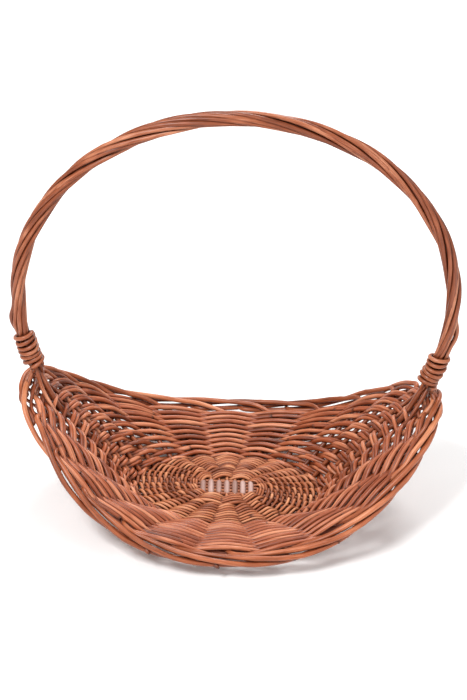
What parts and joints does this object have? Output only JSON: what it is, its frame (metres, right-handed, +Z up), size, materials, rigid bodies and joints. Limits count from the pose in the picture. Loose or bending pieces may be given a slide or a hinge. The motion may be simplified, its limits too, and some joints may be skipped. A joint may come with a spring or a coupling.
{
  "type": "wicker basket",
  "caption": "Oval woven willow basket with shallow sides, high ends and a tall roped handle bound at each foot.",
  "frame": {"origin": "centre of the oval footprint, on the surface the basket stands on", "axes": "+X from handle foot to handle foot, +Y across the basket, +Z up towards the top of the handle"},
  "size_m": [0.4348, 0.2862, 0.4313],
  "materials": {
    "peeled_willow": "dry, split face of the short base sticks",
    "base_willow": "thin buff willow, satin",
    "side_willow": "buff willow, satin with a faint gloss",
    "stake_willow": "buff willow, satin",
    "handle_willow": "thick buff willow, satin"
  },
  "bodies": {
    "root": {"base_round_01": "base_willow", "base_round_02": "base_willow", "base_round_03": "base_willow", "base_round_04": "base_willow", "base_round_05": "base_willow", "base_round_06": "base_willow", "base_round_07": "base_willow", "base_round_08": "base_willow", "base_round_09": "base_willow", "binding_left": "handle_willow", "binding_right": "handle_willow", "cross_stick_1": "peeled_willow", "cross_stick_2": "peeled_willow", "cross_stick_3": "peeled_willow", "cross_stick_4": "peeled_willow", "cross_stick_5": "peeled_willow", "cross_stick_6": "peeled_willow", "cross_stick_7": "peeled_willow", "handle_bow": "handle_willow", "long_stick_1": "base_willow", "long_stick_2": "base_willow", "long_stick_3": "base_willow", "long_stick_4": "base_willow", "long_stick_5": "base_willow", "packing_left": "side_willow", "packing_right": "side_willow", "roping_rod_1": "handle_willow", "roping_rod_2": "handle_willow", "roping_rod_3": "handle_willow", "roping_rod_4": "handle_willow", "roping_rod_5": "handle_willow", "roping_rod_6": "handle_willow", "side_row_01": "side_willow", "side_row_02": "side_willow", "side_row_03": "side_willow", "side_row_04": "side_willow", "side_row_05": "side_willow", "side_row_06": "side_willow", "side_row_07": "side_willow", "side_row_08": "side_willow", "side_row_09": "side_willow", "side_row_10": "side_willow", "side_row_11": "side_willow", "side_row_12": "side_willow", "stakes_back": "stake_willow", "stakes_front": "stake_willow", "stakes_left": "stake_willow", "stakes_right": "stake_willow"}
  },
  "joints": []
}
